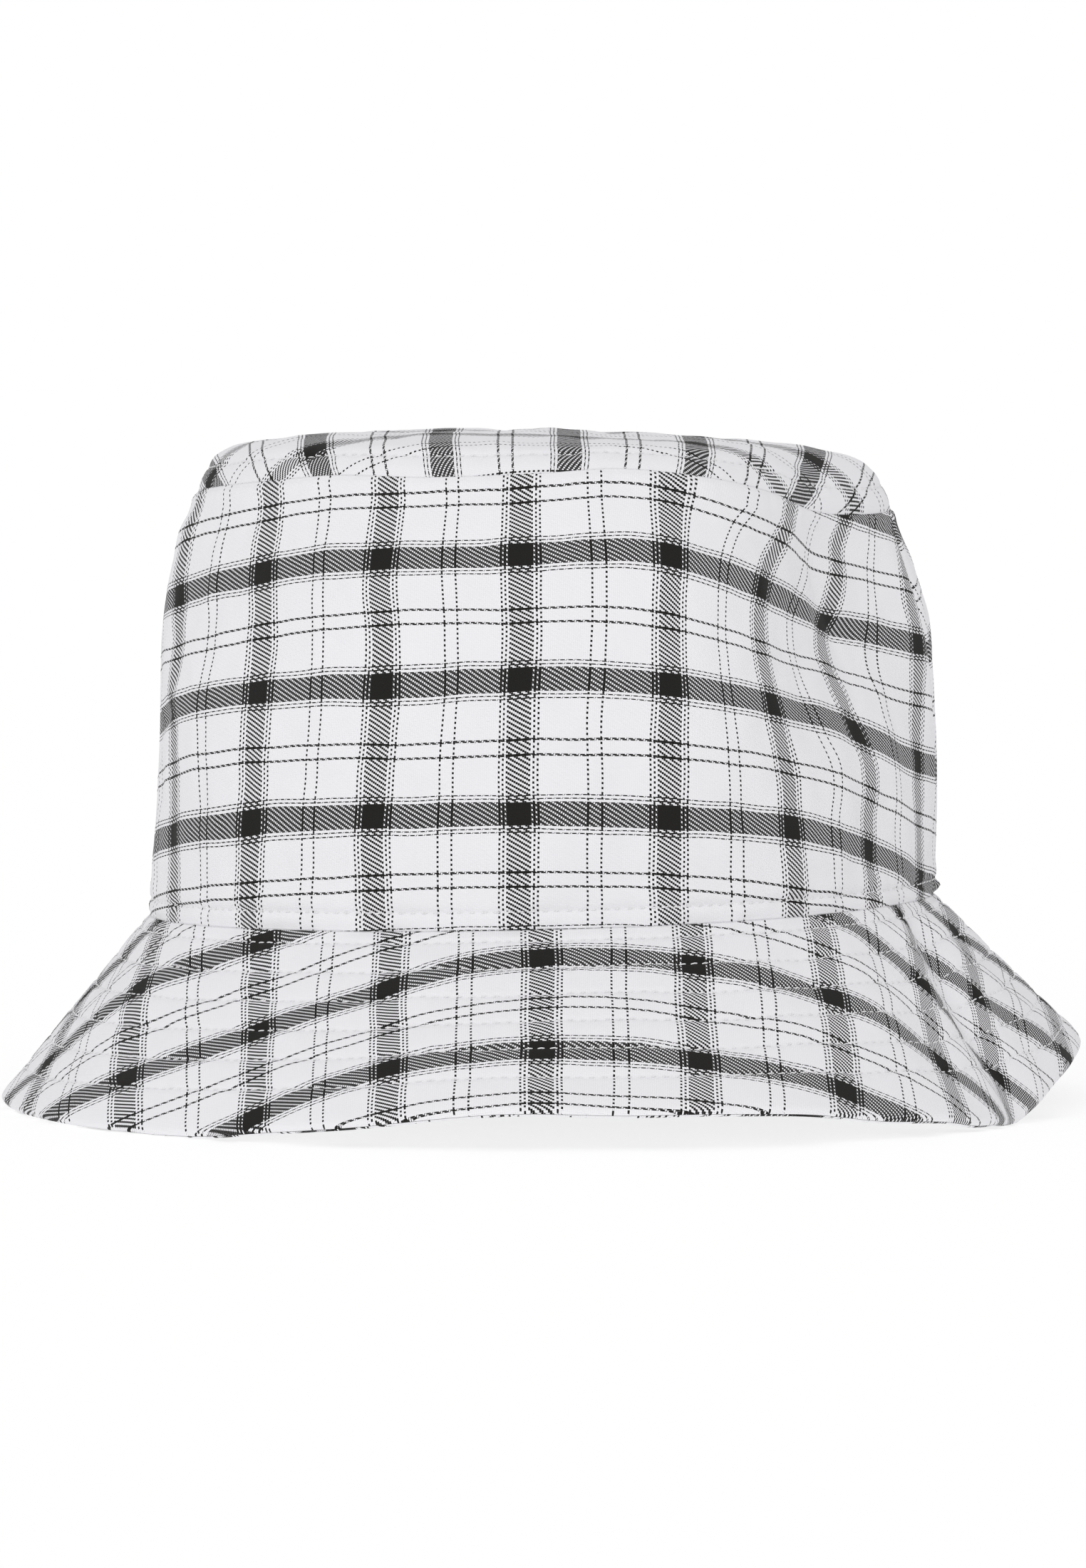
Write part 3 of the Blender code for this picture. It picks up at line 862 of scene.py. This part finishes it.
def check_cloth():
    """A 2/2 twill, thread by thread: each point takes the colour of the thread that lies on top."""
    cloth = Cloth("check_cloth", 0.9, sheen=0.04, sheen_roughness=0.45)
    drift = cloth.noise(0.045, 1.0) - 0.5
    drift_up = cloth.noise(0.06, 1.0) - 0.5
    u = (cloth.u + drift * 1.1) / THREAD_ACROSS_MM
    v = (cloth.v + drift_up * 0.9) / THREAD_UP_MM
    i, j = u.floor(), v.floor()
    across, up = u.rest(), v.rest()
    phase = (i + j).mod(4)
    raised = phase.under(1.5)

    def black(index, repeat, main, line, next_line, fine, width):
        k = ((index + (0.5 + repeat / 2)).mod(repeat) - repeat / 2).size()
        lines = k.near(line) + k.near(next_line) + k.near(repeat / 2 - fine, width)
        return k.under(main) + lines

    black_up, black_across = black(i, *ACROSS_CHECK), black(j, *UP_CHECK)
    above = raised * black_up + raised.flipped() * black_across
    below = raised.flipped() * black_up + raised * black_across

    # Where a point is on its float: from -1 to 1 across the thread and along it.
    lying = (phase - 2).mod(4)
    side = (raised * across + raised.flipped() * up) * 2 - 1
    ahead = raised * (phase + up) + raised.flipped() * (lying + across) - 1
    gap = side.size() ** 3 + ahead.size() ** 5
    bared = gap.smooth(0.82, 1.25)
    # A white thread that runs up over a black one lies narrow on it, and shows it at both sides;
    # that black edge is partly the black thread's own colour and partly painted shade between the
    # threads.
    narrow_and_shade = gap.smooth(0.23, 0.43) * raised * black_up.flipped() * black_across
    dark = above + (below - above) * bared.larger(narrow_and_shade)
    fibres = cloth.noise(5.5, 3.0, 0.7)
    mottle = cloth.noise(0.09, 3.0)
    dark = (dark * (fibres * 0.06 + 0.97)).clamped()
    # Painted shade: where a thread dives under the next one its colour is darkened by 0.16,
    # standing in for the shade between threads; mottle and fibres vary the tone at random.
    painted_shade_and_mottle = (bared * -0.16 + 1.0) * (mottle * 0.03 + 0.985) * (fibres * 0.05 + 0.975)
    colour = cloth.shaded(cloth.mix(dark, WHITE, BLACK), painted_shade_and_mottle)
    height = (side**2) * -0.45 + (ahead**2) * -0.5 + fibres * 0.25 + 1.0
    return cloth.finish(colour, height, 0.055, mottle * 0.1 + 0.83)


def plain_cotton(name, colour, pitch_mm, depth_mm):
    cloth = Cloth(name, 0.9, sheen=0.1)
    u = (cloth.u + (cloth.noise(0.08, 1.0) - 0.5) * 0.8) / pitch_mm
    v = (cloth.v + (cloth.noise(0.1, 1.0) - 0.5) * 0.8) / pitch_mm
    raised = (u.floor() + v.floor()).mod(2).under(0.5)
    x, y = u.rest() * 2 - 1, v.rest() * 2 - 1
    side = raised * x + raised.flipped() * y
    ahead = raised * y + raised.flipped() * x
    fibres = cloth.noise(4.0, 3.0, 0.7)
    slub = cloth.noise(0.35, 2.0)
    height = (side**2) * -0.6 + (ahead**2) * -0.35 + fibres * 0.3 + 1.0
    # Painted shade: each thread is darker towards its sides, where the shade between threads falls;
    # slub and fibres vary the tone at random.
    painted_shade_and_mottle = (side**2) * -0.1 + (slub * 0.05) + (fibres * 0.04) + 0.95
    shade = tuple(c * 0.9 for c in colour)
    return cloth.finish(cloth.shaded(cloth.mix(slub, colour, shade), painted_shade_and_mottle), height, depth_mm)


def felt():
    cloth = Cloth("interlining", 0.95)
    fibres = cloth.noise(2.2, 5.0, 0.75)
    clumps = cloth.noise(0.4, 3.0)
    colour = cloth.mix(fibres, (0.8, 0.8, 0.78), (0.62, 0.62, 0.6))
    return cloth.finish(colour, fibres + clumps, 0.12)


def tape():
    """The sweatband's herringbone tape."""
    cloth = Cloth("sweatband_tape", 0.85, sheen=0.1)
    stripe = ((cloth.u / 5.2).rest() * 2 - 1).size()
    rib = ((cloth.v / 0.7 + stripe * 3.7).rest() * 2 - 1).size()
    fibres = cloth.noise(4.0, 3.0, 0.7)
    turn = stripe.smooth(0.9, 1.0) + stripe.smooth(0.0, 0.1).flipped()
    height = rib * -0.8 + turn * -0.3 + fibres * 0.3 + 1.0
    # Painted shade: darker towards the edges of each rib, where the grooves between ribs are;
    # fibres vary the tone at random.
    painted_shade_and_mottle = rib * -0.1 + fibres * 0.05 + 0.97
    colour = cloth.mix(cloth.noise(0.15, 2.0), (0.86, 0.855, 0.86), (0.8, 0.79, 0.78))
    return cloth.finish(cloth.shaded(colour, painted_shade_and_mottle), height, 0.09)


def satin(name):
    """Blank white satin ribbon: long floats across it, with a ribbed woven edge."""
    cloth = Cloth(name, 0.45, sheen=0.05)
    rib = ((cloth.v / 0.16).rest() * 2 - 1).size()
    slip = ((cloth.u / 1.1 + (cloth.v / 0.16).floor() * 0.37).rest() * 2 - 1).size()
    fibres = cloth.noise(6.0, 2.0)
    height = rib * -0.5 + slip.smooth(0.85, 1.0) * -0.4 + fibres * 0.15 + 1.0
    # Painted shade: darker in the grooves between the ribs; fibres vary the tone at random.
    painted_shade_and_mottle = rib * -0.06 + fibres * 0.03 + 0.98
    colour = cloth.mix(cloth.noise(0.2, 1.0), (0.87, 0.87, 0.87), (0.83, 0.83, 0.84))
    return cloth.finish(cloth.shaded(colour, painted_shade_and_mottle), height, 0.035, fibres * 0.12 + 0.36)


def thread_cotton():
    """Three plies, which twist round the thread."""
    cloth = Cloth("thread", 0.6, sheen=0.1)
    ply = ((cloth.u / 0.75 + cloth.v).rest() * 2 - 1).size()
    fibres = cloth.noise(7.0, 2.0)
    height = ply**2 * -0.7 + fibres * 0.25 + 1.0
    # Painted shade: darker in the grooves between the plies; fibres vary the tone at random.
    painted_shade_and_mottle = ply**3 * -0.16 + fibres * 0.04 + 0.97
    colour = cloth.mix(fibres, (0.9, 0.895, 0.91), (0.84, 0.835, 0.85))
    return cloth.finish(cloth.shaded(colour, painted_shade_and_mottle), height, 0.08)


# ---- the hat's pieces ----------------------------------------------------------------------------


def rides(piece, node, body="hat"):
    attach(piece, body)
    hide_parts(node)


check = check_cloth()
cotton = plain_cotton("lining_cotton", (0.86, 0.86, 0.87), 0.36, 0.05)
thread = thread_cotton()
felted = felt()
band_tape = tape()
woven_satin = satin("label_satin")

for half, middle in (("front", 0), ("back", 180)):
    piece = wall_panel(f"cloth_crown_{half}", middle, check, (0, OUTER_CLOTH_MM))
    rides(piece, f"crown_{half}")
    piece = wall_panel(f"cotton_lining_{half}", middle, cotton, LINING_MM, relief=False)
    rides(piece, f"lining_{half}")
    piece = brim_panel(f"cloth_brim_top_{half}", middle, check, (0, OUTER_CLOTH_MM))
    rides(piece, f"brim_top_{half}")
    piece = brim_panel(f"felt_brim_{half}", middle, felted, INTERLINING_MM, side=0, margin_mm=2.5)
    rides(piece, f"brim_interlining_{half}")
    piece = brim_panel(f"cloth_brim_under_{half}", middle, check, UNDER_BRIM_MM, side=-1)
    rides(piece, f"brim_under_{half}")

piece = tip_panel("cloth_crown_tip", check, (0, OUTER_CLOTH_MM))
rides(piece, "crown_tip")
piece = tip_panel("cotton_lining_tip", cotton, LINING_MM, relief=False)
rides(piece, "lining_tip")


def on_wall(distance_mm, depth_mm=0.0, inside=False):
    def place(azimuth):
        t = np.full_like(azimuth, distance_mm / WALL_MM)
        points, normal = laid(wall, azimuth, t)
        lift = -depth_mm if inside else wall_relief(azimuth, t)
        points = points + normal * (np.broadcast_to(lift, azimuth.shape) * MM)[..., None]
        return points, -normal if inside else normal

    return place


def on_tip(azimuth):
    row = rows_along(tip, azimuth, np.array([[TIP_ROW_MM]]))[0]
    points, normal = laid(tip, azimuth, row)
    lift = tip_relief(azimuth, np.full_like(azimuth, TIP_ROW_MM))
    return points + normal * (lift * MM)[..., None], normal


def on_brim(distance_mm, below=False):
    def place(azimuth):
        long, scale = length_mm(brim, azimuth), rows_scale(azimuth)
        points, normal = laid(brim, azimuth, distance_mm * scale / long)
        pattern, end = np.full_like(azimuth, distance_mm), long + ROWS_REACH_MM * (1 - scale)
        lift = brim_quilt(azimuth, pattern, end)
        if below:
            lift = -UNDER_BRIM_MM[1] + 0.1 * (lift - 0.2)
        lift = lift + brim_bend(azimuth, pattern, end)
        points = points + normal * (lift * MM)[..., None]
        points[..., 2] = np.maximum(points[..., 2], 0.6 * MM)
        return points, -normal if below else normal

    return place


rides(stitches("thread_tip", on_tip, thread, 1), "topstitch_tip")
row = stitches("thread_crown_base", on_wall(BASE_ROW_MM), thread, 2)
rides(row, "topstitch_crown_base")
for number, distance in enumerate(BRIM_ROWS_MM, 1):
    above = stitches(f"thread_brim_{number}", on_brim(distance), thread, 10 + number)
    beneath = stitches("beneath", on_brim(distance, below=True), thread, 20 + number)
    rides(joined(f"thread_brim_{number}", [above, beneath]), f"topstitch_brim_{number}")


def sweatband():
    azimuths = np.linspace(-180, 180, 361)
    up = np.array([0.2, 0.5, 1, 2, 3, 4.5, 6, 8, 10, 12, 14, 16, 18, 20, 22, 24, 26, 27.5,
                   28.6, 29.4, 30, 30.7, 31.3, 31.7, 31.9, 32])
    rows = np.broadcast_to((up / WALL_MM)[:, None], (len(up), len(azimuths)))
    points, normal = laid(wall, azimuths[None, :], rows)
    end = (up[-1] - up)[:, None]
    turn = turned_edge(end, (SWEATBAND_MM[1] - SWEATBAND_MM[0]) / 2)
    lift = 0.12 * BIG(azimuths[None, :] * WALL_TURN_MM, up[:, None] * 2)
    for row in BAND_ROWS_MM:
        lift = lift - 0.16 * hill(up[:, None], row, 0.5)
    lift = lift * step_up(end, 0, 4)
    face = -SWEATBAND_MM[1] - lift + turn
    back = -SWEATBAND_MM[0] - turn
    inside = points + normal * (face * MM)[..., None]
    outside = points + normal * (back * MM)[..., None]
    length = arc_from(wall, azimuths, rows, 0.0)
    grain = np.stack([np.broadcast_to(up[:, None], length.shape), length], -1)
    return shell("tape_sweatband", outside, inside, grain, band_tape, ring=True)


band = sweatband()
rides(band, "sweatband")
for name, height, seed in zip(("low", "high"), BAND_ROWS_MM, (31, 32), strict=True):
    place = on_wall(height, SWEATBAND_MM[1] - 0.1, inside=True)
    row = stitches(f"thread_band_{name}", place, thread, seed, stitch=3.0)
    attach(row, "hat")


WOVEN_HALF_MM = (20, 9)  # half its width and height
WOVEN_HALF_TURN = 13
WOVEN_ROWS = (0.07, 0.25)  # on the wall, in the middle of the back


def woven_label():
    x, y = np.linspace(-1, 1, 61)[None, :], np.linspace(-1, 1, 25)[:, None]
    rows = np.linspace(*WOVEN_ROWS, 25)[:, None]
    points, normal = laid(wall, 180 + WOVEN_HALF_TURN * x, rows)
    flat = x * WOVEN_HALF_MM[0], y * WOVEN_HALF_MM[1]
    lift = 0.5 * (1 - x**4) * (1 - 0.7 * y**2) + 0.12 * SMALL(*flat)
    inside = points + normal * ((-WOVEN_LABEL_MM[1] - lift) * MM)[..., None]
    outside = points + normal * ((-WOVEN_LABEL_MM[0] - lift) * MM)[..., None]
    grain = np.stack(np.broadcast_arrays(*flat), -1)
    return shell("satin_woven_label", outside, inside, grain, woven_satin)


label = woven_label()
rides(label, "woven_label")


CARE_WIDTH_MM = 18
CARE_LONG_MM = 26
CARE_HALF_MM = 0.18  # half its thickness


def care_label():
    """A doubled ribbon, folded at its foot, which curls a little away from the sweatband."""
    hinge = next(j for j in frame["joints"] if j["name"] == "care_label_flap")
    top, axis, rise = np.array(hinge["pos_m"]), np.array(hinge["axis"]), np.array([0, 0, 1.0])
    inward = np.cross(axis, rise)
    if np.dot(inward, -top * (1, 1, 0)) < 0:
        inward = -inward
    across = np.linspace(-0.5, 0.5, 19)[None, :]
    down = np.linspace(0, 1, 27)[:, None]
    curl = 1.6 * down**2 - 0.5 * np.sin(down * 5) * down + 0.25 * (2 * across) ** 2 * down
    flat = across * CARE_WIDTH_MM, -down * CARE_LONG_MM
    line = top + axis * (flat[0] * MM)[..., None] + rise * (flat[1] * MM)[..., None]
    near = line + inward * ((curl + CARE_HALF_MM) * MM)[..., None]
    far = line + inward * ((curl - CARE_HALF_MM) * MM)[..., None]
    grain = np.stack(np.broadcast_arrays(*flat), -1)
    return shell("satin_care_label", near, far, grain, woven_satin)


flap = care_label()
rides(flap, "care_label", body="care_label")


# ---- floor, light and camera ---------------------------------------------------------------------

FLOOR_SIZE = 12
FLOOR_TONE = 0.35
FLOOR_GLOW = 0.71
WORLD_LIGHT = 0.62
SUNS = [  # azimuth, elevation and angle in degrees, and strength
    ("key", -15, 35, 50, 0.7),
    ("top", 10, 80, 100, 0.25),
]


def facing(azimuth, elevation, distance):
    """A point at a distance from the origin, with both angles in radians."""
    level = distance * math.cos(elevation)
    height = distance * math.sin(elevation)
    return Vector((level * math.sin(azimuth), -level * math.cos(azimuth), height))


def studio():
    """A white room: an even world, a soft sun in front and one above, and a pale floor."""
    bpy.ops.mesh.primitive_plane_add(size=FLOOR_SIZE, location=(0, 0, -0.3 * MM))
    floor = bpy.context.object
    floor.name = "floor"
    paper = bpy.data.materials.new("paper")
    paper.use_nodes = True
    shader = paper.node_tree.nodes["Principled BSDF"]
    shader.inputs["Base Color"].default_value = (FLOOR_TONE, FLOOR_TONE, FLOOR_TONE, 1)
    shader.inputs["Roughness"].default_value = 0.9
    shader.inputs["Specular IOR Level"].default_value = 0
    shader.inputs["Emission Color"].default_value = (1, 1, 1, 1)
    shader.inputs["Emission Strength"].default_value = FLOOR_GLOW
    floor.data.materials.append(paper)
    world = bpy.data.worlds.new("studio")
    bpy.context.scene.world = world
    world.use_nodes = True
    nodes, links = world.node_tree.nodes, world.node_tree.links
    nodes["Background"].inputs["Color"].default_value = (1, 1, 1, 1)
    path = nodes.new("ShaderNodeLightPath")
    level = nodes.new("ShaderNodeMapRange")
    level.inputs["To Min"].default_value = WORLD_LIGHT
    level.inputs["To Max"].default_value = 1
    links.new(path.outputs["Is Camera Ray"], level.inputs["Value"])
    links.new(level.outputs["Result"], nodes["Background"].inputs["Strength"])
    for name, azimuth, elevation, angle, strength in SUNS:
        sun = bpy.data.lights.new(name, "SUN")
        sun.angle = math.radians(angle)
        sun.energy = strength
        holder = bpy.data.objects.new(name, sun)
        holder.location = facing(math.radians(azimuth), math.radians(elevation), 2)
        bpy.context.scene.collection.objects.link(holder)
        aim(holder, (0, 0, 0))


def aim(obj, target):
    obj.rotation_euler = (Vector(target) - obj.location).to_track_quat("-Z", "Y").to_euler()


CAMERA_ELEVATION = math.radians(2)
CAMERA_DISTANCE = 1.5
CAMERA_AIM_HEIGHT = 0.0737
CAMERA_LENS = 147.27
CAMERA_SENSOR = 36


def camera():
    data = bpy.data.cameras.new("camera")
    data.lens = CAMERA_LENS
    data.sensor_width = CAMERA_SENSOR
    obj = bpy.data.objects.new("camera", data)
    bpy.context.scene.collection.objects.link(obj)
    target = Vector((0, 0, CAMERA_AIM_HEIGHT))
    obj.location = target + facing(0, CAMERA_ELEVATION, CAMERA_DISTANCE)
    aim(obj, target)
    bpy.context.scene.camera = obj


studio()
camera()
bpy.context.scene.view_settings.view_transform = "Standard"
